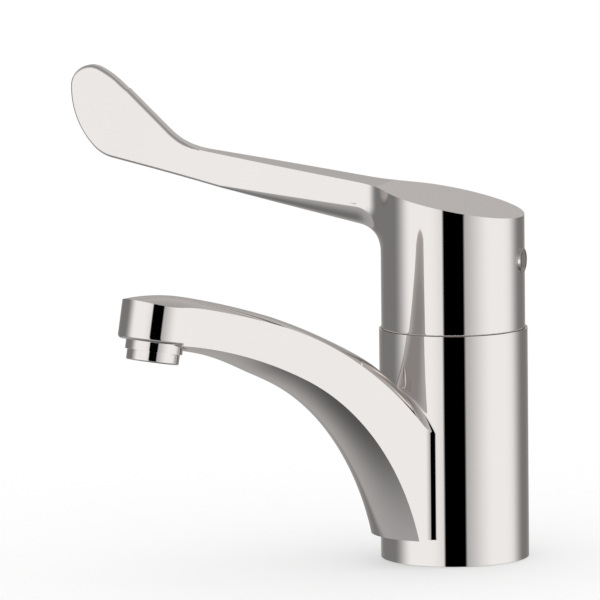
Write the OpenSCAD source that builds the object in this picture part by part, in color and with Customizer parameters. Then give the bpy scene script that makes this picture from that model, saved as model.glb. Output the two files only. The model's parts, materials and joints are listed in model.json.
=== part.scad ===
// Elbow lever tap: a deck mounted single lever basin mixer in chromed brass, with a fixed arched spout,
// an aerator, and a long lever that ends in an upright blade. Millimetres, +Z up.
// The origin is the centre of the base on the deck. The spout points to -Y, the hot side is -X.
// The lever is drawn closed and turned to the hot stop.

/* [Body] */
// diameter of the body
body_d = 50; // [48:0.5:56]
// height of the body's rim above the deck
body_h = 77.6; // [74:0.2:90]

/* [Spout] */
// distance from the body's axis to the centre of the outlet
spout_reach = 130.5; // [115:0.5:145]
// height of the outlet above the deck
outlet_h = 78.5; // [70:0.5:82]
// width of the spout between its flat sides
spout_w = 24.5; // [23:0.5:28]
// radius of the crown across the top and the underside
crown_r = 25; // [20:1:40]
// lean of the outlet back toward the body
nose_tilt = 10.5; // [7:0.5:13]
// diameter of the aerator ring
aerator_d = 17.3; // [16.5:0.1:17.8]

/* [Handle] */
// distance from the body's axis to the end of the blade
lever_reach = 134.8; // [115:0.5:155]
// turn of the lever from the spout to each stop
half_turn = 58; // [45:1:65]
// lift of the lever from closed to full flow
lift_max = 20; // [15:1:20]
// height of the cap above the rim, on the axis
cap_h = 43.2; // [40:0.2:48]
// width of the arm where it leaves the cap
arm_w = 17; // [15:0.5:20]
// thickness of the blade
blade_t = 6; // [4:0.5:8]

/* [Cartridge] */
// diameter of the cartridge's foot
cartridge_d = 35; // [34:0.2:35.6]
// height of the pivot pin above the rim
pivot_rise = 6.3; // [6:0.1:6.8]
// side of the square stem
stem_w = 8; // [7:0.1:8.4]

/* [Connections] */
// diameter of the hose holes
inlet_d = 10; // [8:0.5:11]
// depth of the hose holes
inlet_depth = 14; // [10:1:16]
// diameter of the hole for the fixing stud
stud_d = 8; // [6:0.5:10]
// depth of the hole for the fixing stud
stud_depth = 15; // [10:1:20]

/* [Clearances] */
// gap between pieces that are screwed or pushed together
fit_gap = 0.1; // [0.05:0.01:0.2]
// gap between pieces that move past each other
run_gap = 0.3; // [0.25:0.01:0.4]
// gap between the handle's skirt and the body's bowl
skirt_gap = 0.4; // [0.35:0.01:0.6]
// radial play of the pivot pin in the stem
pin_play = 0.05; // [0.02:0.01:0.08]

/* [Hidden] */
$fn = 96;
chrome = [0.80, 0.80, 0.81];
brass = [0.80, 0.66, 0.36];
steel = [0.66, 0.67, 0.69];
rubber = [0.10, 0.10, 0.11];
ceramic = [0.93, 0.92, 0.89];
white = [0.90, 0.90, 0.88];
grey = [0.55, 0.56, 0.58];
red = [0.75, 0.16, 0.13];

// body
body_r = body_d / 2;
cap_step = 0.8;
cap_r = body_r - cap_step;
// the skirt's ball about the pivot, which the cap's straight wall runs into
skirt_over = 0.45;
skirt_r = cap_r + skirt_over;
rim_round = 0.3;
foot_round = 0.5;
bowl_r = skirt_r + skirt_gap;
gasket_edge = 2.4;
gasket_w = 2.2;
gasket_t = 2.2;
gasket_out = body_r - gasket_edge;
gasket_in = gasket_out - gasket_w;
stud_y = -14;

// chamber and the levels of the stack on its floor
stack_depth = 27.6;
chamber_play = 0.25;
shelf_h = 10;
nut_over = 0.7;
nut_h = 4.5;
nut_hex_h = 7.5;
nut_bore_h = 9;
neck_step = 3.5;
neck_wall = 1.5;
foot_wall = 2.6;
lip_w = 1.7;
lip_h = 2.2;
flange_h = 5.9;
column_h = 9.4;
seal_t = 1;
disc_t = 3;
slide_t = 3.1;
carrier_h = 4.9;
carrier_gap = 0.5;
rotor_h = 15;
spigot_h = 1.5;
floor_z = body_h - stack_depth;
foot_r = cartridge_d / 2;
chamber_r = foot_r + chamber_play;
chamber_h = shelf_h - fit_gap;
nut_r = foot_r + nut_over;
nut_bore_r = nut_r + 1.5 * fit_gap;
neck_r = foot_r - neck_step;
bore_r = neck_r - neck_wall;
lip_r = bore_r - lip_w;
flange_r = foot_r - foot_wall;
rotor_r = bore_r - run_gap;
spigot_r = lip_r - run_gap;
pivot_z = body_h + pivot_rise;
z_foot = floor_z + fit_gap;
z_flange = floor_z + flange_h;
z_column = floor_z + column_h;
z_shelf = floor_z + shelf_h;
z_seal = z_column + seal_t;
z_fixed = z_seal + disc_t;
z_moving = z_fixed + fit_gap;
z_carrier = z_moving + slide_t;
z_rotor = z_carrier + carrier_h + carrier_gap;
z_shoulder = z_rotor + rotor_h;
z_lip = z_shoulder + run_gap;
z_neck = z_lip + lip_h;
cover_over = 0.4;
cover_t = 0.9;
cover_h = 6.4;
z_cover = z_shelf + nut_hex_h + fit_gap;

// seals
foot_seal_r = 0.72;
foot_seal_z = 7.95;
foot_groove = 1.3;
foot_groove_h = 1.7;
rotor_seal_r = 0.7;
rotor_seal_z = 5;
rotor_groove = 1.3;
rotor_groove_h = 1.6;
seal_inset = 0.55;
disc_seal_r = 9.6;
port_seal_t = 1.6;
port_seal_lift = 0.05;
out_seal_over = 0.4;

// ports, in the hot and cold pair and the mixed outlet
port_low = [7, -3.2];
port_high = [5.2, -2.6];
port_low_r = 2.6;
port_high_r = 2;
out_low = 7;
out_high = 5.6;
out_low_r = 3;
out_high_r = 2.3;
seal_ring_r = 3.6;

// moving disc and its driver
disc_r = 9;
disc_start = -1.8;
pocket_r = 4.6;
pocket_at = -2.2;
pocket_h = 1.6;
carrier_floor = 0.4;
ball_r = 2.6;
ball_play = 0.3;
ball_z = z_carrier + carrier_floor + ball_play + ball_r;
ball_slot = 2 * (ball_r + ball_play);
pin_r = 2;
pin_len = 20;
pin_press = 0.02;
stem_h = 24.1;
stem_top = pivot_z + stem_h;
barrel_over = 0.5;
arm_r = 2.2;
slot_back = stem_w / 2 / cos(lift_max) + (z_neck + spigot_h - pivot_z) * tan(lift_max) + 2 * run_gap;
slot_front = arm_r / cos(lift_max) + (pivot_z - z_rotor) * tan(lift_max) + 3 * run_gap;
slot_w = stem_w + 2 * run_gap;
stop_half = 8;
stop_play = 2;
stop_w = 1.6;
stop_h = 1.1;
limit_t = 1.9;
limit_edge = 0.5;

// spout curves: tangent arcs that run back from the nose
nose_r = spout_w / 2;
nose_low = 6.5;
nose_high = 19.4;
nose_cut_r = 62;
crown_off = sqrt(crown_r * crown_r - nose_r * nose_r);
crown_h = crown_r - crown_off;
root_z = 9;
// overlap of neighbouring sweeps, and the small step that keeps their faces apart
lap = 1;
lap_step = 0.05;
top_r2 = 335.6;
top_a2 = 7.2;
top_r1 = 143.3;
low_lean = 2.45;
low_r2 = 180;
low_a2 = 18.15;
low_r1 = 92.2;
top_t0 = nose_tilt;
top_t1 = top_t0 + top_a2;
top_c2 = arc_centre(nose_point(0, nose_high), top_t0, top_r2);
top_c1 = arc_centre(arc_point(top_c2, top_t1, top_r2), top_t1, top_r1);
low_t0 = nose_tilt - low_lean;
low_t1 = low_t0 + low_a2;
low_c2 = arc_centre(nose_point(0, nose_low), low_t0, low_r2);
low_c1 = arc_centre(arc_point(low_c2, low_t1, low_r2), low_t1, low_r1);

// waterway from the chamber to the outlet
way_r = 4;
way_gate_r = 3.2;
bore_pocket = 0.25;
way_drop = 40.5;
way_drop_z = min(outlet_h - way_drop, floor_z - 9);
way_turn = [22, outlet_h - way_drop - 2];
way_a = [48, mid_z(48, top_c1, top_r1, low_c1, low_r1)];
way_b = [90, mid_z(90, top_c2, top_r2, low_c2, low_r2)];
way_end = nose_point(0, 15);

// aerator
ring_wall = 1.15;
sleeve_wall = 1.1;
ring_lip = 0.6;
ring_lip_h = 0.5;
boss_over = 0.75;
ring_h = 3.4;
sleeve_h = 11.5;
seat_h = 13;
washer_w = 2.3;
insert_top = 9.5;
insert_wall = 0.7;
jet_r = 0.75;
jet_pitch = 2.2;
regulator_in = 0.8;
regulator_hole_r = 0.9;
regulator_hole_at = 3;
ring_r = aerator_d / 2;
thread_r = ring_r - ring_wall;
sleeve_in = thread_r - sleeve_wall;
insert_r = sleeve_in - 1.5 * fit_gap;
boss_r = ring_r + boss_over;

// handle: cap, arm and blade, in the lever's own upright plane
skirt_drop = 1;
skirt_z = body_h - skirt_drop;
cap_top = body_h + cap_h;
cap_slope = 11.9;
cap_wall = 2.6;
roof_t = 3.5;
arm_top_angle = 8.85;
arm_low_angle = 13;
arm_inset = 0.7;
arm_h = 15.6;
arm_join = cap_r - arm_inset;
arm_top0 = [arm_join, cap_top + arm_join * tan(cap_slope)];
arm_low0 = [cap_r, arm_top0.y - arm_h];
arm_fillet = 7;
arm_hw = arm_w / 2;
arm_taper = 2;
arm_mid = [60, arm_hw - arm_taper];
blade_len = 37.7;
blade_from = lever_reach - blade_len;
blade_hw = blade_t / 2;
heel_r = 7;
toe_r = 10;
tip_r = 8.4;
brow_r = 8;
tip_at = [5.7, 16.2];
toe_at = [1.6, 6.9];
brow_at = [-0.1, 11.3];
heel_x = lever_reach - tip_r - tip_at.x;
heel = [heel_x, arm_low(heel_x) + heel_r / cos(arm_low_angle), heel_r];
toe = [heel.x + toe_at.x, heel.y + toe_at.y, toe_r];
tip = [heel.x + tip_at.x, heel.y + tip_at.y, tip_r];
brow = [heel.x + brow_at.x, heel.y + brow_at.y, brow_r];
brow_angle = 43.7;
brow_fillet = 25;
brow_point = [brow.x - brow[2] * sin(brow_angle), brow.y + brow[2] * cos(brow_angle)];
neck_x = (brow_point.y - arm_top0.y - brow_point.x * tan(brow_angle) + arm_top0.x * tan(arm_top_angle))
    / (tan(arm_top_angle) - tan(brow_angle));
neck = [neck_x, arm_top0.y + (neck_x - arm_top0.x) * tan(arm_top_angle)];

// fixing of the handle on the stem
boss_in_r = 9;
boss_rise = 18.4;
screw_rise = 23.4;
boss_z = body_h + boss_rise;
screw_z = body_h + screw_rise;
screw_r = 3;
screw_key_r = 1.73;
screw_key_h = 2.5;
plug_r = 4;
plug_face = 0.6;
plug_tail = 1.1;
plug_groove = 0.4;
plug_edge = 0.7;

function nose_point(x, h) = [
    spout_reach + x * cos(nose_tilt) - h * sin(nose_tilt),
    outlet_h + x * sin(nose_tilt) + h * cos(nose_tilt)];
function arc_centre(p, t, r) = [p.x + r * sin(t), p.y - r * cos(t)];
function arc_point(c, t, r) = [c.x - r * sin(t), c.y + r * cos(t)];
function arc_z(u, c, r) = c.y + sqrt(r * r - (u - c.x) * (u - c.x));
function mid_z(u, ca, ra, cb, rb) = (arc_z(u, ca, ra) + arc_z(u, cb, rb)) / 2;
function arm_low(q) = arm_low0.y + (q - arm_low0.x) * tan(arm_low_angle);
function lean(a) = [cos(a), sin(a)];

// ends of the outer tangent of two circles that are passed counterclockwise
function tangent(a, b) =
    let (d = [b.x - a.x, b.y - a.y])
    let (n = norm(d))
    let (c = (a[2] - b[2]) / n)
    let (m = c * d / n + sqrt(1 - c * c) * [d.y, -d.x] / n)
    [[a.x, a.y] + a[2] * m, [b.x, b.y] + b[2] * m];

module spout_frame() {
    rotate([0, 0, -90]) children();
}

module lever_frame() {
    rotate([0, 0, -90 - half_turn]) children();
}

module nose_frame() {
    spout_frame() translate([spout_reach, 0, outlet_h]) rotate([0, -nose_tilt, 0]) children();
}

// an upright outline given width to both sides
module slab(w) {
    rotate([90, 0, 0]) linear_extrude(w, center = true) children();
}

// a ring section turned through part of an arc in the upright plane
module sweep(c, t_from, t_to) {
    translate([c.x, 0, c.y]) rotate([90, 0, 0])
        rotate_extrude(start = 90 + t_from, angle = t_to - t_from) children();
}

// a straight bore between two points of the upright plane, with a round pocket at its end
module bore(a, b, r) {
    turn = atan2(b.x - a.x, b.y - a.y);
    translate([a.x, 0, a.y]) rotate([0, turn, 0]) cylinder(r = r, h = norm(b - a));
    translate([b.x, 0, b.y]) sphere(r + bore_pocket);
}

module tube(r_out, r_in, z0, z1) {
    translate([0, 0, z0]) difference() {
        cylinder(r = r_out, h = z1 - z0);
        translate([0, 0, -1]) cylinder(r = r_in, h = z1 - z0 + 2);
    }
}

module o_ring(r_major, r_minor, z) {
    translate([0, 0, z]) rotate_extrude() translate([r_major, 0]) circle(r_minor);
}

// a corner piece that rounds the angle between two straight lines
module corner_fill(v, a, b, r) {
    half = abs(b - a) / 2;
    run = r / tan(half);
    c = v + r / sin(half) * lean((a + b) / 2);
    difference() {
        polygon([v, v + run * lean(a), c, v + run * lean(b)]);
        translate(c) circle(r);
    }
}

// circles joined by their outer tangents
module belt(cs) {
    n = len(cs);
    polygon([for (i = [0 : n - 1]) for (p = tangent(cs[i], cs[(i + 1) % n])) p]);
    for (c = cs) translate([c.x, c.y]) circle(c[2]);
}

module ports(p, r, z0, z1) {
    for (s = [-1, 1]) translate([s * p.x, p.y, z0]) cylinder(r = r, h = z1 - z0);
}

// section of the spout's top, crowned outward
module crown_section(r, depth) {
    translate([r - depth, -nose_r]) square([depth, spout_w]);
    intersection() {
        translate([r - crown_off, 0]) circle(crown_r);
        translate([r - 1, -nose_r]) square([crown_h + 2, spout_w]);
    }
}

// section of the space below the spout, hollowed by the crowned underside
module under_section(r) {
    difference() {
        translate([r - 70, -nose_r - 1]) square([72, spout_w + 2]);
        translate([r + crown_off, 0]) circle(crown_r);
    }
}

module nose_head() {
    intersection() {
        translate([0, 0, nose_low - 2]) cylinder(r = nose_r - lap_step, h = nose_high + crown_h);
        rotate([90, 0, 90]) linear_extrude(3 * nose_r, center = true) intersection() {
            translate([0, nose_high - crown_off - lap_step]) circle(crown_r);
            translate([-nose_r - 1, nose_low - 2]) square([spout_w + 2, 40]);
        }
    }
}

// what the fall of the crown takes off the front of the nose
module nose_fall() {
    x = nose_r - sqrt(nose_cut_r * nose_cut_r - pow(nose_cut_r - crown_h, 2));
    slab(2 * spout_w) difference() {
        translate([x, nose_high - 2]) square([30, 12]);
        translate([x, nose_high + crown_h - nose_cut_r]) circle(nose_cut_r);
    }
}

module spout_solid() {
    difference() {
        union() {
            intersection() {
                spout_frame() {
                    sweep(top_c2, top_t0, top_t1) crown_section(top_r2, 50);
                    sweep(top_c1, top_t1 - lap, 70) crown_section(top_r1 - lap_step, 60);
                }
                translate([-100, -250, root_z]) cube([200, 250, 200]);
            }
            nose_frame() nose_head();
        }
        spout_frame() {
            sweep(low_c2, low_t0 - 6, low_t1) under_section(low_r2);
            sweep(low_c1, low_t1 - lap, 88) under_section(low_r1 - lap_step);
        }
        nose_frame() {
            translate([0, 0, nose_low - 60]) cylinder(r = nose_r + 0.25, h = 60);
            nose_fall();
        }
    }
    nose_frame() translate([0, 0, ring_h + fit_gap]) cylinder(r = boss_r, h = nose_low - ring_h + 1);
}

module body_solid() {
    rotate_extrude() difference() {
        square([body_r, body_h]);
        translate([body_r - rim_round, body_h - rim_round]) difference() {
            square(2 * rim_round);
            circle(rim_round);
        }
        translate([body_r - foot_round, foot_round]) difference() {
            translate([0, -2 * foot_round]) square(2 * foot_round);
            circle(foot_round);
        }
    }
}

module waterway() {
    spout_frame() {
        translate([-out_low, 0, way_drop_z]) cylinder(r = out_low_r, h = floor_z - way_drop_z + 1);
        translate([-out_low, 0, way_drop_z]) sphere(way_gate_r + bore_pocket);
        bore([-out_low, way_drop_z], way_turn, way_gate_r);
        bore(way_turn, way_a, way_r);
        bore(way_a, way_b, way_r);
        bore(way_b, way_end, way_r);
    }
    nose_frame() {
        translate([0, 0, seat_h - 1]) cylinder(r = way_r + 1, h = 3.6);
        translate([0, 0, -1]) cylinder(r = thread_r + fit_gap, h = seat_h + 1);
    }
}

module body_casting() {
    color(chrome) difference() {
        union() {
            body_solid();
            spout_solid();
        }
        translate([0, 0, pivot_z]) sphere(bowl_r);
        translate([0, 0, floor_z]) cylinder(r = chamber_r, h = chamber_h + 1);
        translate([0, 0, floor_z + chamber_h]) cylinder(r = nut_bore_r, h = nut_bore_h);
        ports(port_low, port_low_r, inlet_depth - 1, floor_z + 1);
        ports(port_low, inlet_d / 2, -1, inlet_depth);
        translate([0, stud_y, -1]) cylinder(r = stud_d / 2, h = stud_depth + 1);
        tube(gasket_out + fit_gap, gasket_in - fit_gap, -1, gasket_t);
        waterway();
    }
}

module base_gasket() {
    color(rubber) tube(gasket_out, gasket_in, 0, gasket_t);
}

module aerator_ring() {
    color(chrome) nose_frame() rotate_extrude() difference() {
        union() {
            square([ring_r, ring_h]);
            square([thread_r, sleeve_h]);
        }
        translate([-1, -1]) square([sleeve_in - ring_lip + 1, 2 * sleeve_h]);
        translate([-1, ring_lip_h]) square([sleeve_in + 1, 2 * sleeve_h]);
        translate([ring_r - 0.6, 0.6]) difference() {
            translate([0, -1.2]) square(1.2);
            circle(0.6);
        }
    }
}

module aerator_insert() {
    color(white) nose_frame() difference() {
        translate([0, 0, ring_lip_h + fit_gap]) cylinder(r = insert_r, h = insert_top - ring_lip_h - fit_gap);
        for (ring = [1 : 2]) for (i = [0 : 6 * ring - 1])
            rotate(i * 60 / ring) translate([jet_pitch * ring, 0, -1])
                cylinder(r = jet_r, h = 2 * insert_top, $fn = 24);
        translate([0, 0, -1]) cylinder(r = jet_r, h = 2 * insert_top, $fn = 24);
        translate([0, 0, -1]) cylinder(r = insert_r - insert_wall, h = ring_lip_h + 2.1);
    }
}

module flow_regulator() {
    color(red) nose_frame() translate([0, 0, insert_top]) difference() {
        cylinder(r = insert_r - regulator_in, h = sleeve_h - insert_top);
        for (i = [0 : 5]) rotate(i * 60) translate([regulator_hole_at, 0, -1])
            cylinder(r = regulator_hole_r, h = 2 * sleeve_h, $fn = 24);
    }
}

module aerator_washer() {
    color(rubber) nose_frame() tube(thread_r, thread_r - washer_w, sleeve_h, seat_h);
}

module cartridge_housing() {
    color(white) difference() {
        union() {
            translate([0, 0, z_foot]) cylinder(r = foot_r, h = z_shelf - z_foot);
            translate([0, 0, z_foot]) cylinder(r = neck_r, h = z_neck - z_foot);
        }
        translate([0, 0, floor_z - 1]) cylinder(r = flange_r + fit_gap, h = z_flange + fit_gap - floor_z + 1);
        translate([0, 0, floor_z]) cylinder(r = bore_r, h = z_lip - floor_z);
        translate([0, 0, z_lip - 1]) cylinder(r = lip_r, h = 10);
        tube(foot_r + 1, foot_r - foot_groove,
            floor_z + foot_seal_z - foot_groove_h / 2, floor_z + foot_seal_z + foot_groove_h / 2);
    }
}

module housing_seal() {
    color(rubber) o_ring(foot_r - seal_inset, foot_seal_r, floor_z + foot_seal_z);
}

module cartridge_base() {
    color(grey) difference() {
        union() {
            translate([0, 0, z_foot]) cylinder(r = flange_r, h = z_flange - z_foot);
            translate([0, 0, z_foot]) cylinder(r = bore_r - 2 * fit_gap, h = z_column - z_foot);
        }
        ports(port_low, port_low_r, floor_z - 1, z_flange - 2);
        ports(port_high, port_high_r, z_flange - 3, z_column + 1);
        ports(port_low, seal_ring_r + fit_gap, floor_z - 1, z_foot + port_seal_t + fit_gap);
        translate([0, out_low, floor_z - 1]) cylinder(r = out_low_r, h = flange_h - 1);
        translate([0, out_high, z_flange - 3]) cylinder(r = out_high_r, h = column_h);
        translate([0, out_low, floor_z - 1])
            cylinder(r = seal_ring_r + out_seal_over + fit_gap, h = port_seal_t + 1 + 2 * fit_gap);
    }
}

module port_seals() {
    color(rubber) {
        for (s = [-1, 1]) translate([s * port_low.x, port_low.y, 0])
            tube(seal_ring_r, port_low_r, floor_z + port_seal_lift, floor_z + port_seal_lift + port_seal_t);
        translate([0, out_low, 0]) tube(seal_ring_r + out_seal_over, out_low_r,
            floor_z + port_seal_lift, floor_z + port_seal_lift + port_seal_t);
    }
}

module disc_seal() {
    color(rubber) difference() {
        translate([0, 0, z_column]) cylinder(r = disc_seal_r, h = z_seal - z_column);
        ports(port_high, port_high_r, z_column - 1, z_seal + 1);
        translate([0, out_high, z_column - 1]) cylinder(r = out_high_r, h = 4);
    }
}

module fixed_disc() {
    color(ceramic) difference() {
        translate([0, 0, z_seal]) cylinder(r = bore_r - 0.5, h = z_fixed - z_seal);
        ports(port_high, port_high_r, z_seal - 1, z_fixed + 1);
        translate([0, out_high, z_seal - 1]) cylinder(r = out_high_r, h = 6);
    }
}

module moving_disc() {
    color(ceramic) lever_frame() translate([disc_start, 0, z_moving]) difference() {
        cylinder(r = disc_r, h = z_carrier - z_moving);
        translate([pocket_at, 0, -1]) cylinder(r = pocket_r, h = pocket_h + 1);
    }
}

module disc_carrier() {
    color(grey) lever_frame() difference() {
        translate([disc_start, 0, z_carrier]) cylinder(r = disc_r - 0.5, h = carrier_h);
        translate([-ball_slot / 2, -ball_slot / 2, z_carrier + carrier_floor])
            cube([ball_slot, ball_slot, 2 * carrier_h]);
    }
}

module rotor() {
    color(white) difference() {
        union() {
            translate([0, 0, z_rotor]) cylinder(r = rotor_r, h = z_shoulder - z_rotor);
            translate([0, 0, z_rotor]) cylinder(r = spigot_r, h = z_neck + spigot_h - z_rotor);
            rotate([0, 0, 90 - half_turn]) translate([0, 0, z_neck + run_gap + fit_gap])
                rotate_extrude(start = -stop_half, angle = 2 * stop_half)
                    translate([spigot_r - 1, 0]) square([stop_w + 1, stop_h]);
        }
        lever_frame() translate([-slot_back, -slot_w / 2, z_rotor - 1])
            cube([slot_back + slot_front, slot_w, 40]);
        lever_frame() translate([0, 0, pivot_z]) rotate([90, 0, 0])
            cylinder(r = pin_r + pin_press, h = pin_len + 2 * fit_gap, center = true);
        tube(rotor_r + 1, rotor_r - rotor_groove,
            z_rotor + rotor_seal_z - rotor_groove_h / 2, z_rotor + rotor_seal_z + rotor_groove_h / 2);
    }
}

module rotor_seal() {
    color(rubber) o_ring(rotor_r - seal_inset, rotor_seal_r, z_rotor + rotor_seal_z);
}

module pivot_pin() {
    color(steel) lever_frame() translate([0, 0, pivot_z]) rotate([90, 0, 0])
        cylinder(r = pin_r, h = pin_len, center = true);
}

module stem() {
    color(steel) lever_frame() difference() {
        union() {
            translate([-stem_w / 2, -stem_w / 2, pivot_z]) cube([stem_w, stem_w, stem_top - pivot_z]);
            translate([0, 0, pivot_z]) rotate([90, 0, 0])
                cylinder(r = stem_w / 2 + barrel_over, h = stem_w, center = true);
            translate([0, 0, ball_z]) cylinder(r = arm_r, h = pivot_z - ball_z);
            translate([0, 0, ball_z]) sphere(ball_r);
        }
        translate([0, 0, pivot_z]) rotate([90, 0, 0])
            cylinder(r = pin_r + pin_play, h = stem_w + 2, center = true);
    }
}

module limit_ring() {
    from = 90 - half_turn - stop_half - stop_play;
    open = 2 * (half_turn + stop_half + stop_play);
    color(red) {
        tube(neck_r - limit_edge, spigot_r + stop_w + run_gap, z_neck + fit_gap, z_neck + fit_gap + limit_t);
        translate([0, 0, z_neck + fit_gap]) rotate_extrude(start = from + open, angle = 360 - open)
            translate([lip_r, 0]) square([neck_r - 2 * limit_edge - lip_r, limit_t]);
    }
}

module retaining_nut() {
    color(brass) difference() {
        union() {
            translate([0, 0, z_shelf]) cylinder(r = nut_r, h = nut_h);
            translate([0, 0, z_shelf]) cylinder(r = nut_r - fit_gap / 2, h = nut_hex_h, $fn = 6);
        }
        translate([0, 0, z_shelf - 1]) cylinder(r = neck_r + run_gap, h = 2 * nut_hex_h);
    }
}

module nut_cover() {
    color(chrome) {
        tube(foot_r + cover_over, neck_r + run_gap, z_cover, z_cover + cover_t);
        tube(neck_r + run_gap + cover_t, neck_r + run_gap, z_cover, z_cover + cover_h);
    }
}

module cap_outline(drop) {
    reach = 2 * body_r;
    rise = reach * tan(cap_slope);
    polygon([[-reach, 0], [reach, 0], [reach, cap_top + rise - drop], [-reach, cap_top - rise - drop]]);
}

module cap_solid() {
    intersection() {
        translate([0, 0, skirt_z]) cylinder(r = cap_r, h = 2 * cap_h);
        translate([0, 0, pivot_z]) union() {
            sphere(skirt_r);
            cylinder(r = 2 * cap_r, h = 2 * cap_h);
        }
        slab(4 * body_r) cap_outline(0);
    }
}

module arm_side() {
    start = 12;
    belt([heel, toe, tip, brow]);
    polygon([
        [start, arm_low(start)],
        [heel.x + heel_r * sin(arm_low_angle), heel.y - heel_r * cos(arm_low_angle)],
        [heel.x, heel.y],
        [brow.x, brow.y],
        brow_point,
        neck,
        arm_top0,
        [start, cap_top + start * tan(cap_slope)]]);
    corner_fill(neck, brow_angle, 180 + arm_top_angle, brow_fillet);
    corner_fill(arm_low0, -90, arm_low_angle, arm_fillet);
    translate([start, arm_low0.y - arm_fillet / tan((90 + arm_low_angle) / 2)])
        square([cap_r - start, arm_fillet]);
}

module arm_plan() {
    fillet_x = sqrt(pow(cap_r + arm_fillet, 2) - pow(arm_hw + arm_fillet, 2));
    touch = cap_r / (cap_r + arm_fillet) * [fillet_x, arm_hw + arm_fillet];
    polygon([
        [0, -arm_hw], [fillet_x, -arm_hw], [arm_mid.x, -arm_mid.y], [blade_from, -blade_hw],
        [lever_reach + 5, -blade_hw], [lever_reach + 5, blade_hw], [blade_from, blade_hw],
        [arm_mid.x, arm_mid.y], [fillet_x, arm_hw], [0, arm_hw]]);
    for (s = [-1, 1]) difference() {
        polygon([
            [0, 0], [touch.x, s * touch.y], [fillet_x, s * (arm_hw + arm_fillet)], [fillet_x, 0]]);
        translate([fillet_x, s * (arm_hw + arm_fillet)]) circle(arm_fillet);
    }
}

module handle() {
    color(chrome) lever_frame() difference() {
        union() {
            cap_solid();
            intersection() {
                slab(4 * body_r) arm_side();
                linear_extrude(3 * body_h) arm_plan();
            }
        }
        difference() {
            intersection() {
                translate([0, 0, skirt_z - 1]) cylinder(r = cap_r - cap_wall, h = 3 * cap_h);
                slab(4 * body_r) cap_outline(roof_t);
            }
            translate([0, 0, boss_z]) cylinder(r = boss_in_r, h = cap_h);
        }
        translate([-stem_w / 2 - 1.5 * fit_gap, -stem_w / 2 - 1.5 * fit_gap, boss_z - 1])
            cube([stem_w + 3 * fit_gap, stem_w + 3 * fit_gap, stem_top + 3 * fit_gap - boss_z + 1]);
        translate([-boss_in_r - 1, 0, screw_z]) rotate([0, 90, 0])
            cylinder(r = screw_r + fit_gap / 2, h = boss_in_r);
        translate([-cap_r - 1, 0, screw_z]) rotate([0, 90, 0])
            cylinder(r = plug_r + fit_gap, h = cap_wall + 3);
    }
}

module set_screw() {
    start = -boss_in_r + 0.1;
    color(steel) lever_frame() translate([start, 0, screw_z]) rotate([0, 90, 0]) difference() {
        cylinder(r = screw_r, h = -start - stem_w / 2 - fit_gap);
        translate([0, 0, -1]) cylinder(r = screw_key_r, h = screw_key_h + 1, $fn = 6);
    }
}

module screw_plug() {
    color(chrome) lever_frame() translate([-cap_r - plug_face, 0, screw_z]) rotate([0, 90, 0]) difference() {
        cylinder(r = plug_r, h = cap_wall + plug_face + plug_tail);
        tube(plug_r - plug_edge, plug_r - plug_edge - plug_groove, -1, plug_groove);
    }
}

body_casting();
base_gasket();
aerator_ring();
aerator_insert();
flow_regulator();
aerator_washer();
cartridge_housing();
cartridge_base();
port_seals();
housing_seal();
disc_seal();
fixed_disc();
moving_disc();
disc_carrier();
rotor();
rotor_seal();
pivot_pin();
stem();
limit_ring();
retaining_nut();
nut_cover();
handle();
set_screw();
screw_plug();
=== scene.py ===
"""Elbow lever tap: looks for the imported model. Shapes are in millimetres, objects in metres."""
import json
import math
from typing import NamedTuple

import bpy
import numpy as np
from mathutils import Matrix, Vector


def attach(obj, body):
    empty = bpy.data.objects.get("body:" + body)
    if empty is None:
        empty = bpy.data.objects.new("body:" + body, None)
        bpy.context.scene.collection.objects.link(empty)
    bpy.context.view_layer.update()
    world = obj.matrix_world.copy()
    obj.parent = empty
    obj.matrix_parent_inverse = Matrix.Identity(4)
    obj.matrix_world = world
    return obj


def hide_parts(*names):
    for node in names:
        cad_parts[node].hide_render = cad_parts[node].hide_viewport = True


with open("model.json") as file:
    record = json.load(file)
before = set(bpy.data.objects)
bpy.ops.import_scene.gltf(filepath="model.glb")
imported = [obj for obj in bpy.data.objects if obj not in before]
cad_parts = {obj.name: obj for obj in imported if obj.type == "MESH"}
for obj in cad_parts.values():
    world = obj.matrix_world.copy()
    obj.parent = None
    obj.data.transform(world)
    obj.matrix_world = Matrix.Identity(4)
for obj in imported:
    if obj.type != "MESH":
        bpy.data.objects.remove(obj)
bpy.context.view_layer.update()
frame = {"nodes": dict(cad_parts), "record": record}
MM = 0.001

# camera of the photograph, found from the body's and the spout's edges; angles in degrees
CAM_TURN = 48.7
CAM_DIST = 2500.0
CAM_HEIGHT = 414.2
CAM_YAW = -1.18
CAM_PITCH = -7.45
CAM_ROLL = -0.62
CAM_FOCAL_PX = 7494.0
FRAME_PX = 600.0
SENSOR_W = 36.0
CLIP_END_M = 100.0

# body, and the bowl in its top that the cap rocks in
BODY_R = 25.0
BODY_H = 77.6
PIVOT_Z = 83.9
BOWL_R = 25.05

# spout: its outlet's place and tilt, its half width, and how it joins the body
REACH = 130.5
OUTLET = 78.5
TILT = math.radians(10.5)
SPOUT_HW = 12.25
SPOUT_FOOT = 9.0
ROOT_FILLET = 2.4

# radii of the spout's top and underside across it: each changes between two distances from the body's axis
CROWN_R = 27.0
ROOT_CROWN_R = 15.5
CROWN_SPAN = (36.0, 78.0)
BELLY_R = 25.0
FRONT_BELLY_R = 40.0
BELLY_SPAN = (85.0, 110.0)

# nose: heights above the outlet, the fall of its top, and the flat face that is cut below it, which is
# wider in front
NOSE_LOW = 6.5
NOSE_HIGH = 19.4
FALL_BACK = 9.0
NOSE_FALL_R = 85.0
FACE_R = 10.2
FACE_GAIN = 5.0
FACE_SPAN = (-4.0, 2.0)
NOSE_EDGE_R = 1.3

# collar below the nose, round the aerator's seat
COLLAR_R = 9.4
COLLAR_MID = 5.3
COLLAR_HH = 1.8

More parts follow.
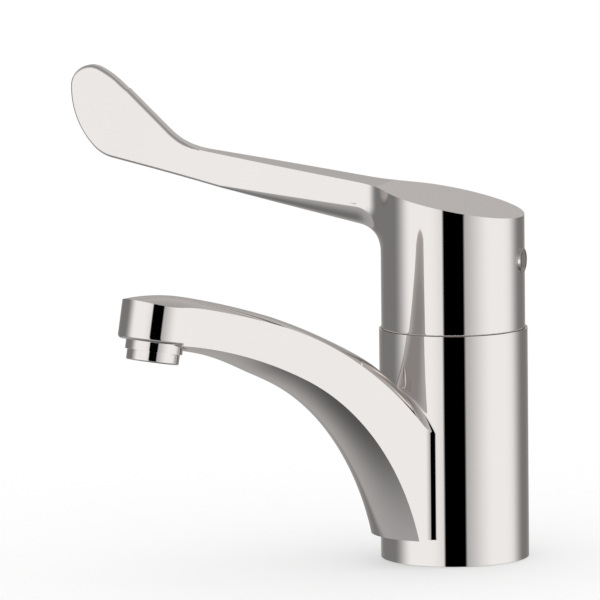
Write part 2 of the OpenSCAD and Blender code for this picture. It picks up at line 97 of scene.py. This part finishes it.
# hollows of the body
NUT_R = 18.35
NUT_FLOOR = 59.9
CHAMBER_R = 17.75
CHAMBER_FLOOR = 50.0
GROOVE_R = 21.5
GROOVE_HW = 1.2
GROOVE_DEPTH = 2.2
INLET_X = 7.0
INLET_Y = -3.2
INLET_R = 5.0
INLET_DEPTH = 14.0
FEED_R = 2.6
FEED_TOP = 51.0
STUD_Y = -14.0
STUD_R = 4.0
STUD_DEPTH = 15.0
AERATOR_R = 7.6
AERATOR_TOP = 13.0
WATER_R = 5.0
WATER_TOP = 15.6

# bearing of the handle from the spout in degrees
LEVER_TURN = 58.0

# cap: its slanted top reaches out over the root of the arm
CAP_R = 24.2
SKIRT_R = 24.88
SKIRT_DROP = 1.0
CAP_TOP = 120.8
CAP_SLOPE = math.radians(11.9)
ROOF_END = 40.0

# arm: half widths at two places with their tapers, and the slopes of its top and underside
ARM_START = 5.0
ARM_INSET = 0.7
ARM_DEPTH = 15.6
ARM_FILLET = 8.2
ARM_TOP_A = math.radians(8.85)
ARM_LOW_A = math.radians(13.0)
ARM_TOP = (CAP_R - ARM_INSET, CAP_TOP + (CAP_R - ARM_INSET) * math.tan(CAP_SLOPE))
ARM_LOW = (CAP_R, ARM_TOP[1] - ARM_DEPTH)
ROOT_HW = 8.5
ROOT_Q = 27.0
ROOT_TAPER = 0.0606
NECK_HW = 6.5
NECK_Q = 60.0
NECK_TAPER = 0.108
TAPER_BLEND = 0.6

# the edge under the arm is rounded more toward the cap, and the top's edge is rounded along the blade alone
EDGE_R = 1.0
UNDER_RATE = 0.14
UNDER_END = 81.0
UNDER_GAIN = 7.2
TOP_EDGE_SPAN = (86.0, 96.0)

# where the handle's near part, with the cap, gives way to its far part, with the blade
FAR_START = 70.0

# blade: each arc of its end has a radius and the heading that it ends on
BLADE_HW = 2.4
BLADE_BLEND = 1.2
BROW_A = math.radians(43.7)
BROW_BLEND = 4.6
HEEL_Q = 120.1
HEEL_Z = ARM_LOW[1] + (HEEL_Q - ARM_LOW[0]) * math.tan(ARM_LOW_A)
HEEL = (13.3, math.radians(46.7))
TOE = (28.9, math.radians(91.7))
TIP = (7.2, math.radians(207.7))
BROW = (43.1, math.pi + BROW_A)
LEAF_INSIDE = -6.0

# hollows of the handle
CAVE_R = 21.6
CAP_WALL = 3.5
BOSS_R = 9.0
BOSS_LOW = 96.0
SOCKET_HW = 4.15
SOCKET_TOP = 108.3
SCREW_Z = 101.0
SCREW_R = 3.05
SCREW_MID = -5.0
SCREW_HL = 5.0
PLUG_R = 4.1
PLUG_END = -19.0

# boxes that the two castings are meshed in, steps of their grids, and how even the normals in a cell
# have to be where it holds no crease
BODY_BOX = (-26, -145, -1), (26, 26, 103)
HANDLE_BOX = (-26, -26, 75), (138, 26, 166)
FINE_STEP = 0.5
BODY_EVEN = 0.97
HANDLE_EVEN = 0.95

# how far a slope is measured to each side, for places and for smooth normals
PROBE = 0.02
SMOOTH_PROBE = 0.05
TINY = 1e-9
# rounds of the search along a grid's line, and the share of it that each round leaves at either end
SEARCH_ROUNDS = 4
SEARCH_MARGIN = 0.05
# what keeps a flat cell's corner near its middle, the rounds in which points settle on the surface, and
# the most that a round moves them, in steps of the grid
HOLD = 0.01
SETTLE_ROUNDS = 2
SETTLE_MAX = 0.3
# how far inside its triangle a normal beside a crease is taken
INWARD = 0.4


# signed distances: below 0 inside a shape, and above 0 outside it

def round_max(a, b, r):
    """Overlap of two shapes with its edge rounded to radius r."""
    return np.minimum(np.maximum(a, b), -r) + np.hypot(np.maximum(a + r, 0), np.maximum(b + r, 0))


def soft_min(a, b, k):
    """Union of two shapes with a fillet about k wide."""
    h = np.maximum(k - np.abs(a - b), 0) / k
    return np.minimum(a, b) - h * h * k / 4


def soft_max(a, b, k):
    """Overlap of two shapes with its edge softened about k wide."""
    return -soft_min(-a, -b, k)


def without(d, *walls):
    """The shape d less the space that lies inside all the walls."""
    return np.maximum(d, -np.maximum.reduce(walls))


def ease(x, a, b):
    """0 below a, 1 above b, smooth between."""
    t = np.clip((x - a) / (b - a), 0, 1)
    return t * t * (3 - 2 * t)


def above(q, z, point, angle):
    """Distance above the line through a point that rises at an angle."""
    return (z - point[1]) * math.cos(angle) - (q - point[0]) * math.sin(angle)


# body and spout

class Curve:
    """Two tangent arcs that run back from the nose, turning down; angles in degrees."""

    def __init__(self, start, lean, front_r, front_turn, rear_r):
        t0 = TILT - math.radians(lean)
        t1 = t0 + math.radians(front_turn)
        u0 = REACH - start * math.sin(TILT)
        z0 = OUTLET + start * math.cos(TILT)
        self.front_r = front_r
        self.rear_r = rear_r
        self.front_c = (u0 + front_r * math.sin(t0), z0 - front_r * math.cos(t0))
        self.joint = (self.front_c[0] - front_r * math.sin(t1), self.front_c[1] + front_r * math.cos(t1))
        self.rear_c = (self.joint[0] + rear_r * math.sin(t1), self.joint[1] - rear_r * math.cos(t1))
        self.heading = (math.cos(t1), math.sin(t1))

    def height(self, u, z):
        """Distance above the arcs."""
        ahead = (u - self.joint[0]) * self.heading[0] + (z - self.joint[1]) * self.heading[1]
        return np.where(ahead > 0, np.hypot(u - self.front_c[0], z - self.front_c[1]) - self.front_r,
                        np.hypot(u - self.rear_c[0], z - self.rear_c[1]) - self.rear_r)


TOP = Curve(start=NOSE_HIGH, lean=0.0, front_r=335.6, front_turn=7.2, rear_r=143.3)
LOW = Curve(start=NOSE_LOW, lean=2.45, front_r=180.0, front_turn=18.15, rear_r=92.2)


def crowned(height, v, r):
    """Distance above a surface crowned across to radius r, from the height above its two edges."""
    return np.hypot(np.maximum(height + np.sqrt(r * r - SPOUT_HW ** 2), 0), v) - r


def outlet_frame(u, v, z):
    """Distances ahead of the outlet, from its tilted axis and up along that axis."""
    ahead = (u - REACH) * math.cos(TILT) + (z - OUTLET) * math.sin(TILT)
    rise = -(u - REACH) * math.sin(TILT) + (z - OUTLET) * math.cos(TILT)
    return ahead, np.hypot(ahead, v), rise


def spout_shape(u, v, z):
    """The spout runs along u, and v is the distance from its middle."""
    ahead, off_axis, rise = outlet_frame(u, v, z)
    fall = np.maximum(ahead + FALL_BACK, 0) ** 2 / (2 * NOSE_FALL_R)
    top_r = CROWN_R - (CROWN_R - ROOT_CROWN_R) * (1 - ease(u, *CROWN_SPAN))
    low_r = BELLY_R + (FRONT_BELLY_R - BELLY_R) * ease(u, *BELLY_SPAN)
    top = crowned(TOP.height(u, z) + fall, v, top_r)
    low = crowned(-LOW.height(u, z), v, low_r)
    side = np.hypot(np.maximum(ahead, 0), v) - SPOUT_HW
    spout = np.maximum(np.maximum(top, side), np.maximum(low, -u))
    face = np.maximum(off_axis - FACE_R - FACE_GAIN * ease(ahead, *FACE_SPAN), rise - NOSE_LOW)
    return round_max(spout, -face, NOSE_EDGE_R)


def body_shape(x, y, z):
    """Body and spout, which points along -y."""
    rho = np.hypot(x, y)
    column = np.maximum(rho - BODY_R, np.abs(z - BODY_H / 2) - BODY_H / 2)
    spout = np.maximum(soft_min(column, spout_shape(-y, x, z), ROOT_FILLET), SPOUT_FOOT - z)
    _, off_axis, rise = outlet_frame(-y, x, z)
    collar = np.maximum(off_axis - COLLAR_R, np.abs(rise - COLLAR_MID) - COLLAR_HH)
    d = np.minimum(np.minimum(spout, column), collar)
    d = without(d, np.sqrt(rho * rho + (z - PIVOT_Z) ** 2) - BOWL_R)
    d = without(d, rho - NUT_R, NUT_FLOOR - z)
    d = without(d, rho - CHAMBER_R, CHAMBER_FLOOR - z)
    d = without(d, np.abs(rho - GROOVE_R) - GROOVE_HW, z - GROOVE_DEPTH)
    inlets = np.hypot(np.abs(x) - INLET_X, y - INLET_Y)
    d = without(d, inlets - INLET_R, z - INLET_DEPTH)
    d = without(d, inlets - FEED_R, z - FEED_TOP)
    d = without(d, np.hypot(x, y - STUD_Y) - STUD_R, z - STUD_DEPTH)
    d = without(d, off_axis - AERATOR_R, rise - AERATOR_TOP)
    return without(d, off_axis - WATER_R, rise - WATER_TOP)


# handle

class Arc(NamedTuple):
    """An arc of the blade's end: its centre, its radius and its headings at start and end."""
    q: float
    z: float
    radius: float
    start: float
    end: float


def arc_chain(q, z, heading, turns):
    """Arcs that follow each other from a point and a heading, and the last one's end point."""
    arcs = []
    for radius, end in turns:
        arc = Arc(q - radius * math.sin(heading), z + radius * math.cos(heading), radius, heading, end)
        arcs.append(arc)
        q = arc.q + radius * math.sin(end)
        z = arc.z - radius * math.cos(end)
        heading = end
    return arcs, (q, z)


LEAF, BROW_END = arc_chain(HEEL_Q, HEEL_Z, ARM_LOW_A, (HEEL, TOE, TIP, BROW))


def leaf(q, z):
    """The blade's end, from the arcs that face the point."""
    d = np.full_like(q, LEAF_INSIDE)
    for arc in LEAF:
        heading = np.arctan2(q - arc.q, arc.z - z) % (2 * math.pi)
        facing = (heading >= arc.start) & (heading <= arc.end)
        d = np.where(facing, np.maximum(d, np.hypot(q - arc.q, z - arc.z) - arc.radius), d)
    return d


def arm_half_width(q):
    """Two tapers that end in the blade's thickness."""
    root = np.minimum(ROOT_HW, ROOT_HW - ROOT_TAPER * (q - ROOT_Q))
    neck = NECK_HW - NECK_TAPER * (q - NECK_Q)
    return soft_max(soft_min(root, neck, TAPER_BLEND), BLADE_HW, BLADE_BLEND)


def handle_shape(q, k, z):
    """Cap, arm and blade; the arm points along q, and k runs across it."""
    rho = np.hypot(q, k)
    skirt = np.where(z < PIVOT_Z, np.hypot(rho, z - PIVOT_Z) - SKIRT_R, -SKIRT_R)
    column = np.maximum(rho - CAP_R, skirt)
    roof = above(q, z, (0, CAP_TOP), CAP_SLOPE)
    flank = np.abs(k) - arm_half_width(q)
    under = -above(q, z, ARM_LOW, ARM_LOW_A)
    over = soft_min(above(q, z, ARM_TOP, ARM_TOP_A), above(q, z, BROW_END, BROW_A), BROW_BLEND)
    under_r = EDGE_R + np.clip(UNDER_RATE * (UNDER_END - q), 0, UNDER_GAIN)
    # near part: cap and the root of the arm
    arm = np.maximum(round_max(flank, under, under_r), ARM_START - q)
    near = soft_min(column, arm, ARM_FILLET)
    near = np.maximum(near, np.where(q < ROOF_END, np.maximum(roof, over), over))
    near = np.maximum(near, BODY_H - SKIRT_DROP - z)
    # far part: the rest of the arm and the blade
    far = round_max(flank, np.maximum(under, leaf(q, z)), under_r)
    far = round_max(far, over, EDGE_R * ease(q, *TOP_EDGE_SPAN))
    d = np.where(q < FAR_START, near, far)
    cave = np.maximum(rho - CAVE_R, roof + CAP_WALL)
    d = without(d, without(cave, rho - BOSS_R, BOSS_LOW - z))
    d = without(d, np.abs(q) - SOCKET_HW, np.abs(k) - SOCKET_HW, z - SOCKET_TOP)
    rear = np.hypot(k, z - SCREW_Z)
    d = without(d, rear - SCREW_R, np.abs(q - SCREW_MID) - SCREW_HL)
    return without(d, rear - PLUG_R, q - PLUG_END)


# meshes from the distances

def gradient(shape, points, probe=PROBE):
    """The direction in which the distance grows, at each point."""
    g = np.empty_like(points)
    for i in range(3):
        ahead = points.copy()
        behind = points.copy()
        ahead[:, i] += probe
        behind[:, i] -= probe
        g[:, i] = shape(*ahead.T) - shape(*behind.T)
    return g / np.maximum(np.linalg.norm(g, axis=1, keepdims=True), TINY)


def sample(shape, low, high, step):
    """The distance to the shape at each point of a grid."""
    xs, ys, zs = (np.arange(a, b + step, step) for a, b in zip(low, high))
    y, z = np.meshgrid(ys, zs, indexing="ij")
    grid = np.empty((len(xs), len(ys), len(zs)), np.float32)
    for i, x in enumerate(xs):
        grid[i] = shape(np.full_like(y, x), y, z)
    return grid


def crossings(shape, grid, low, step, axis):
    """Where the grid's lines along one axis pass the surface, and the four cells round each place."""
    first = [slice(None)] * 3
    second = [slice(None)] * 3
    first[axis] = slice(0, -1)
    second[axis] = slice(1, None)
    here = np.argwhere((grid[tuple(first)] < 0) != (grid[tuple(second)] < 0))
    there = here.copy()
    there[:, axis] += 1
    a, b = here * step + low, there * step + low
    da, db = grid[tuple(here.T)].astype(float), grid[tuple(there.T)].astype(float)
    outward = da < 0
    for _ in range(SEARCH_ROUNDS):
        share = np.clip(da / (da - db), SEARCH_MARGIN, 1 - SEARCH_MARGIN)[:, None]
        p = a + (b - a) * share
        dp = shape(*p.T)
        same = (dp < 0) == (da < 0)
        a, da = np.where(same[:, None], p, a), np.where(same, dp, da)
        b, db = np.where(same[:, None], b, p), np.where(same, db, dp)
    places = a + (b - a) * (da / (da - db))[:, None]
    ring = []
    for shift1, shift2 in ((0, 0), (-1, 0), (-1, -1), (0, -1)):
        cell = here.copy()
        cell[:, (axis + 1) % 3] += shift1
        cell[:, (axis + 2) % 3] += shift2
        ring.append(np.ravel_multi_index(tuple(cell.T), grid.shape))
    return np.stack(ring, 1), places, outward


def cell_corners(rings, places, normals):
    """Each cell's corner, nearest to the planes through its crossings, and how even their normals are."""
    cells = rings.ravel()
    count = np.bincount(cells)

    def total(values):
        return np.bincount(cells, np.repeat(values, 4))

    mean = np.stack([total(places[:, i]) / count for i in range(3)], 1)
    lean = np.stack([total(normals[:, i]) / count for i in range(3)], 1)
    planes = np.empty((len(count), 3, 3))
    for i in range(3):
        for j in range(3):
            planes[:, i, j] = total(normals[:, i] * normals[:, j]) + HOLD * (i == j)
    pull = (normals[:, None, :] * (places[:, None, :] - mean[rings])).sum(2)
    offset = np.stack([np.bincount(cells, (normals[:, i, None] * pull).ravel()) for i in range(3)], 1)
    corners = mean + np.linalg.solve(planes, offset[:, :, None])[:, :, 0]
    return corners, np.linalg.norm(lean, axis=1)


def split_quads(shape, points, quads):
    """Two triangles for each quad, cut along the diagonal whose middle is nearer to the surface."""
    miss = [np.abs(shape(*((points[quads[:, i]] + points[quads[:, i + 2]]) / 2).T)) for i in (0, 1)]
    quads = np.where((miss[0] > miss[1])[:, None], np.roll(quads, -1, axis=1), quads)
    return np.concatenate([quads[:, [0, 1, 2]], quads[:, [0, 2, 3]]])


def skin(shape, box, step, even):
    """Points, faces and face corners' normals of a shape's surface, with its sharp edges kept."""
    low = np.array(box[0], float)
    grid = sample(shape, low, box[1], step)
    found = [crossings(shape, grid, low, step, axis) for axis in range(3)]
    cells, places, outward = (np.concatenate(a) for a in zip(*found))
    ids, rings = np.unique(cells.ravel(), return_inverse=True)
    rings = rings.reshape(-1, 4)
    points, evenness = cell_corners(rings, places, gradient(shape, places))
    cell_low = np.stack(np.unravel_index(ids, grid.shape), 1) * step + low
    points = np.clip(points, cell_low, cell_low + step)
    crease = evenness < even
    for _ in range(SETTLE_ROUNDS):
        move = np.clip(shape(*points.T), -SETTLE_MAX * step, SETTLE_MAX * step)
        points -= np.where(crease, 0.0, move)[:, None] * gradient(shape, points)
    faces = np.where(outward[:, None], rings, rings[:, ::-1])
    sharp = crease[faces].any(1)
    quads = faces[~sharp]
    tris = split_quads(shape, points, faces[sharp])
    # a point on a crease has a normal of its own in each triangle
    smooth = gradient(shape, points, SMOOTH_PROBE)
    corners = points[tris]
    inward = corners + INWARD * (corners.mean(1, keepdims=True) - corners)
    own = gradient(shape, inward.reshape(-1, 3)).reshape(-1, 3, 3)
    tri_normals = np.where(crease[tris][:, :, None], own, smooth[tris])
    normals = np.concatenate([smooth[quads].reshape(-1, 3), tri_normals.reshape(-1, 3)])
    return points, quads.tolist() + tris.tolist(), normals


def mesh_object(name, points, faces, normals, turn):
    """A smooth mesh, turned about the upright axis."""
    c, s = math.cos(turn), math.sin(turn)
    rot = np.array([[c, -s, 0], [s, c, 0], [0, 0, 1]])
    mesh = bpy.data.meshes.new(name)
    mesh.from_pydata((points @ rot.T * MM).tolist(), [], faces)
    mesh.polygons.foreach_set("use_smooth", np.ones(len(faces), bool))
    mesh.normals_split_custom_set((normals @ rot.T).tolist())
    obj = bpy.data.objects.new(name, mesh)
    bpy.context.scene.collection.objects.link(obj)
    return obj


grid_step = FINE_STEP
body = mesh_object("tap_body", *skin(body_shape, BODY_BOX, grid_step, BODY_EVEN), 0.0)
handle = mesh_object("tap_handle", *skin(handle_shape, HANDLE_BOX, grid_step, HANDLE_EVEN),
                     math.radians(-90 - LEVER_TURN))
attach(body, "root")
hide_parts("body_casting")
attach(handle, "lever")
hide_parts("handle")


# materials

# the part of a noise's range that a roughness follows, its detail, and the depth of a grain in metres
NOISE_LOW = 0.3
NOISE_HIGH = 0.7
DRIFT_DETAIL = 3.0
GRAIN_DETAIL = 4.0
GRAIN_DEPTH_M = 0.0002


def nodes_of(name):
    """A new material, its node tree and its shader."""
    mat = bpy.data.materials.new(name)
    mat.use_nodes = True
    nt = mat.node_tree
    return mat, nt, nt.nodes["Principled BSDF"]


def noise(nt, scale, detail=DRIFT_DETAIL, stretch=(1, 1, 1)):
    """A noise in the object's own space."""
    coord = nt.nodes.new("ShaderNodeTexCoord")
    place = nt.nodes.new("ShaderNodeMapping")
    place.inputs["Scale"].default_value = stretch
    tex = nt.nodes.new("ShaderNodeTexNoise")
    tex.inputs["Scale"].default_value = scale
    tex.inputs["Detail"].default_value = detail
    nt.links.new(coord.outputs["Object"], place.inputs["Vector"])
    nt.links.new(place.outputs["Vector"], tex.inputs["Vector"])
    return tex.outputs["Fac"]


def ramp(nt, source, low, high):
    """A value from low to high along a noise."""
    node = nt.nodes.new("ShaderNodeMapRange")
    node.inputs["From Min"].default_value = NOISE_LOW
    node.inputs["From Max"].default_value = NOISE_HIGH
    node.inputs["To Min"].default_value = low
    node.inputs["To Max"].default_value = high
    nt.links.new(source, node.inputs["Value"])
    return node.outputs["Result"]


def tint(nt, source, a, b):
    """A colour from a to b along a noise."""
    node = nt.nodes.new("ShaderNodeMix")
    node.data_type = "RGBA"
    node.inputs["A"].default_value = (*a, 1)
    node.inputs["B"].default_value = (*b, 1)
    nt.links.new(source, node.inputs["Factor"])
    return node.outputs["Result"]


def bump(nt, source, bsdf, strength):
    """A fine relief on a shader."""
    node = nt.nodes.new("ShaderNodeBump")
    node.inputs["Strength"].default_value = strength
    node.inputs["Distance"].default_value = GRAIN_DEPTH_M
    nt.links.new(source, node.inputs["Height"])
    nt.links.new(node.outputs["Normal"], bsdf.inputs["Normal"])


def surface(name, colour, other, rough, drift, metal=0.0, grain=None, dent=0.0, stretch=(1, 1, 1)):
    """A material whose colour and roughness drift with one noise, and whose grain, if any, is another."""
    mat, nt, bsdf = nodes_of(name)
    bsdf.inputs["Metallic"].default_value = metal
    cloud = noise(nt, drift)
    nt.links.new(tint(nt, cloud, colour, other), bsdf.inputs["Base Color"])
    nt.links.new(ramp(nt, cloud, *rough), bsdf.inputs["Roughness"])
    if grain:
        bump(nt, noise(nt, grain, GRAIN_DETAIL, stretch), bsdf, dent)
    return mat


CHROME_EDGE = (1.0, 0.965, 0.94, 1)
CHROME = surface("chrome_plate", colour=(0.89, 0.857, 0.842), other=(0.875, 0.843, 0.828),
                 rough=(0.02, 0.035), drift=45.0, metal=1.0)
CHROME.node_tree.nodes["Principled BSDF"].inputs["Specular Tint"].default_value = CHROME_EDGE
BRASS = surface("brass", colour=(0.80, 0.60, 0.28), other=(0.70, 0.50, 0.22),
                rough=(0.22, 0.34), drift=180.0, metal=1.0, grain=1400.0, dent=0.15, stretch=(1, 1, 12))
STEEL = surface("steel", colour=(0.60, 0.61, 0.63), other=(0.50, 0.51, 0.53),
                rough=(0.22, 0.34), drift=200.0, metal=1.0, grain=1500.0, dent=0.12, stretch=(1, 1, 10))
RUBBER = surface("rubber", colour=(0.018, 0.018, 0.02), other=(0.035, 0.034, 0.034),
                 rough=(0.55, 0.75), drift=260.0, grain=2500.0, dent=0.25)
WHITE = surface("white_plastic", colour=(0.80, 0.80, 0.77), other=(0.74, 0.74, 0.72),
                rough=(0.35, 0.48), drift=120.0, grain=2200.0, dent=0.12)
GREY = surface("grey_plastic", colour=(0.30, 0.31, 0.33), other=(0.24, 0.25, 0.27),
               rough=(0.38, 0.5), drift=140.0, grain=2200.0, dent=0.12)
RED = surface("red_plastic", colour=(0.60, 0.05, 0.04), other=(0.48, 0.035, 0.03),
              rough=(0.28, 0.4), drift=140.0, grain=2200.0, dent=0.1)
CERAMIC = surface("ceramic", colour=(0.86, 0.85, 0.81), other=(0.80, 0.79, 0.75),
                  rough=(0.08, 0.16), drift=150.0, grain=2600.0, dent=0.05)
LOOKS = {"chrome_plate": CHROME, "brass": BRASS, "steel": STEEL, "rubber": RUBBER, "white_plastic": WHITE,
         "grey_plastic": GREY, "red_plastic": RED, "ceramic": CERAMIC}

for part in frame["record"]["subparts"]:
    obj = frame["nodes"][part["node"]]
    obj.data.materials.clear()
    obj.data.materials.append(LOOKS[part["material_slot"]])
for obj in (body, handle):
    obj.data.materials.append(CHROME)


# studio

def vector_dot(nt, source, axis):
    """How far a direction goes along an axis."""
    node = nt.nodes.new("ShaderNodeVectorMath")
    node.operation = "DOT_PRODUCT"
    node.inputs[1].default_value = axis
    nt.links.new(source, node.inputs[0])
    return node.outputs["Value"]


def feed(nt, source, socket):
    """Give a socket a number, or link another socket to it."""
    if isinstance(source, (int, float)):
        socket.default_value = source
    else:
        nt.links.new(source, socket)


def math_node(nt, op, *sources):
    """An operation on one or two numbers or sockets."""
    node = nt.nodes.new("ShaderNodeMath")
    node.operation = op
    for i, source in enumerate(sources):
        feed(nt, source, node.inputs[i])
    return node.outputs["Value"]


def soft_step(nt, source, start, end):
    """0 at start and 1 at end along source, smooth between."""
    node = nt.nodes.new("ShaderNodeMapRange")
    node.interpolation_type = "SMOOTHSTEP"
    node.inputs["From Min"].default_value = start
    node.inputs["From Max"].default_value = end
    nt.links.new(source, node.inputs["Value"])
    return node.outputs["Result"]


def layer(nt, mask, under, over):
    """The level over where mask is 1 and under where it is 0; each is a number or a socket."""
    node = nt.nodes.new("ShaderNodeMix")
    nt.links.new(mask, node.inputs["Factor"])
    feed(nt, under, node.inputs["A"])
    feed(nt, over, node.inputs["B"])
    return node.outputs["Result"]


class Panel(NamedTuple):
    """An upright panel of the studio: its bearing from the camera, half width and soft edge in degrees."""
    middle: float
    half: float
    edge: float
    level: float


# a screen to each side, a dim corner behind each, and the dark opening that the camera looks through;
# each panel stands in front of those before it
PANELS = (
    Panel(middle=-55, half=15, edge=65, level=0.95),
    Panel(middle=75, half=10, edge=60, level=0.95),
    Panel(middle=-125, half=15, edge=40, level=0.2),
    Panel(middle=140, half=5, edge=35, level=0.2),
    Panel(middle=1, half=15, edge=4, level=0.0))
WALL_LEVEL = 0.4
BACKGROUND = (1, 1, 1, 1)


class Flat(NamedTuple):
    """The studio's table or roof: its levels at two heights, and where it meets the walls, in degrees."""
    levels: tuple
    fade: tuple
    edge: tuple


TABLE = Flat(levels=(0.1, 0.4), fade=(-80, -25), edge=(-28, -22))
ROOF = Flat(levels=(0.5, 0.3), fade=(15, 60), edge=(10, 13))


def room_level(nt):
    """The studio's level in each direction."""
    turn = math.radians(CAM_TURN)
    way = nt.nodes.new("ShaderNodeTexCoord").outputs["Generated"]
    right = vector_dot(nt, way, (math.cos(turn), math.sin(turn), 0))
    toward = vector_dot(nt, way, (math.sin(turn), -math.cos(turn), 0))
    rise = vector_dot(nt, way, (0, 0, 1))
    bearing = math_node(nt, "DEGREES", math_node(nt, "ARCTAN2", right, toward))
    height = math_node(nt, "DEGREES", math_node(nt, "ARCSINE", rise))
    room = WALL_LEVEL
    for panel in PANELS:
        off = math_node(nt, "ABSOLUTE", math_node(nt, "SUBTRACT", bearing, panel.middle))
        room = layer(nt, soft_step(nt, off, panel.half + panel.edge, panel.half), room, panel.level)
    # the table darkens toward the foot of the tap, and the roof dims toward its middle
    table = layer(nt, soft_step(nt, height, *TABLE.fade), *TABLE.levels)
    roof = layer(nt, soft_step(nt, height, *ROOF.fade), *ROOF.levels)
    room = layer(nt, soft_step(nt, height, *TABLE.edge), table, room)
    return layer(nt, soft_step(nt, height, *ROOF.edge), room, roof)


def make_world():
    """Mirror rays see the studio, and all other rays see the plain background."""
    world = bpy.data.worlds.new("studio")
    world.use_nodes = True
    nt = world.node_tree
    nt.nodes.clear()
    out = nt.nodes.new("ShaderNodeOutputWorld")
    back = nt.nodes.new("ShaderNodeBackground")
    path = nt.nodes.new("ShaderNodeLightPath")
    pick = nt.nodes.new("ShaderNodeMix")
    pick.data_type = "RGBA"
    pick.inputs["A"].default_value = BACKGROUND
    nt.links.new(path.outputs["Is Glossy Ray"], pick.inputs["Factor"])
    nt.links.new(room_level(nt), pick.inputs["B"])
    nt.links.new(pick.outputs["Result"], back.inputs["Color"])
    nt.links.new(back.outputs["Background"], out.inputs["Surface"])
    return world


# floor: its size and how far it lies below the tap in metres, its colours, and its glow to the camera
FLOOR_SIZE_M = 24.0
FLOOR_DROP_M = 0.0002
FLOOR_PALE = (0.70, 0.70, 0.70)
FLOOR_PALER = (0.715, 0.715, 0.712)
FLOOR_DRIFT = 1.5
FLOOR_ROUGH = 0.9
FLOOR_GLOW = 0.3


def floor_material():
    """A pale surface that keeps the shadow, and lets mirror reflections through to the studio."""
    mat, nt, bsdf = nodes_of("pale_floor")
    bsdf.inputs["Roughness"].default_value = FLOOR_ROUGH
    bsdf.inputs["Specular IOR Level"].default_value = 0.0
    nt.links.new(tint(nt, noise(nt, FLOOR_DRIFT), FLOOR_PALE, FLOOR_PALER), bsdf.inputs["Base Color"])
    path = nt.nodes.new("ShaderNodeLightPath")
    glow = nt.nodes.new("ShaderNodeEmission")
    both = nt.nodes.new("ShaderNodeAddShader")
    clear = nt.nodes.new("ShaderNodeBsdfTransparent")
    mix = nt.nodes.new("ShaderNodeMixShader")
    strength = math_node(nt, "MULTIPLY", path.outputs["Is Camera Ray"], FLOOR_GLOW)
    nt.links.new(strength, glow.inputs["Strength"])
    nt.links.new(bsdf.outputs["BSDF"], both.inputs[0])
    nt.links.new(glow.outputs["Emission"], both.inputs[1])
    nt.links.new(path.outputs["Is Glossy Ray"], mix.inputs["Fac"])
    nt.links.new(both.outputs["Shader"], mix.inputs[1])
    nt.links.new(clear.outputs["BSDF"], mix.inputs[2])
    nt.links.new(mix.outputs["Shader"], nt.nodes["Material Output"].inputs["Surface"])
    return mat


def make_camera():
    """The photograph's camera."""
    yaw, pitch, roll = (math.radians(a) for a in (CAM_YAW, CAM_PITCH, CAM_ROLL))
    forward = Vector((math.sin(yaw) * math.cos(pitch), math.cos(yaw) * math.cos(pitch), math.sin(pitch)))
    level = forward.cross(Vector((0, 0, 1))).normalized()
    upright = level.cross(forward)
    right = level * math.cos(roll) + upright * math.sin(roll)
    up = upright * math.cos(roll) - level * math.sin(roll)
    spin = Matrix.Rotation(math.radians(CAM_TURN), 3, "Z")
    axes = Matrix([spin @ axis for axis in (right, up, -forward)]).transposed()
    place = spin @ Vector((0, -CAM_DIST, CAM_HEIGHT)) * MM
    camera = bpy.data.objects.new("camera", bpy.data.cameras.new("camera"))
    bpy.context.scene.collection.objects.link(camera)
    camera.matrix_world = Matrix.Translation(place) @ axes.to_4x4()
    camera.data.sensor_fit = "HORIZONTAL"
    camera.data.sensor_width = SENSOR_W
    camera.data.lens = CAM_FOCAL_PX / FRAME_PX * SENSOR_W
    camera.data.clip_end = CLIP_END_M
    return camera


bpy.context.scene.world = make_world()
bpy.ops.mesh.primitive_plane_add(size=FLOOR_SIZE_M, location=(0, 0, -FLOOR_DROP_M))
floor = bpy.context.object
floor.name = "floor"
floor.data.materials.append(floor_material())
bpy.context.scene.camera = make_camera()
bpy.context.scene.view_settings.view_transform = "Standard"
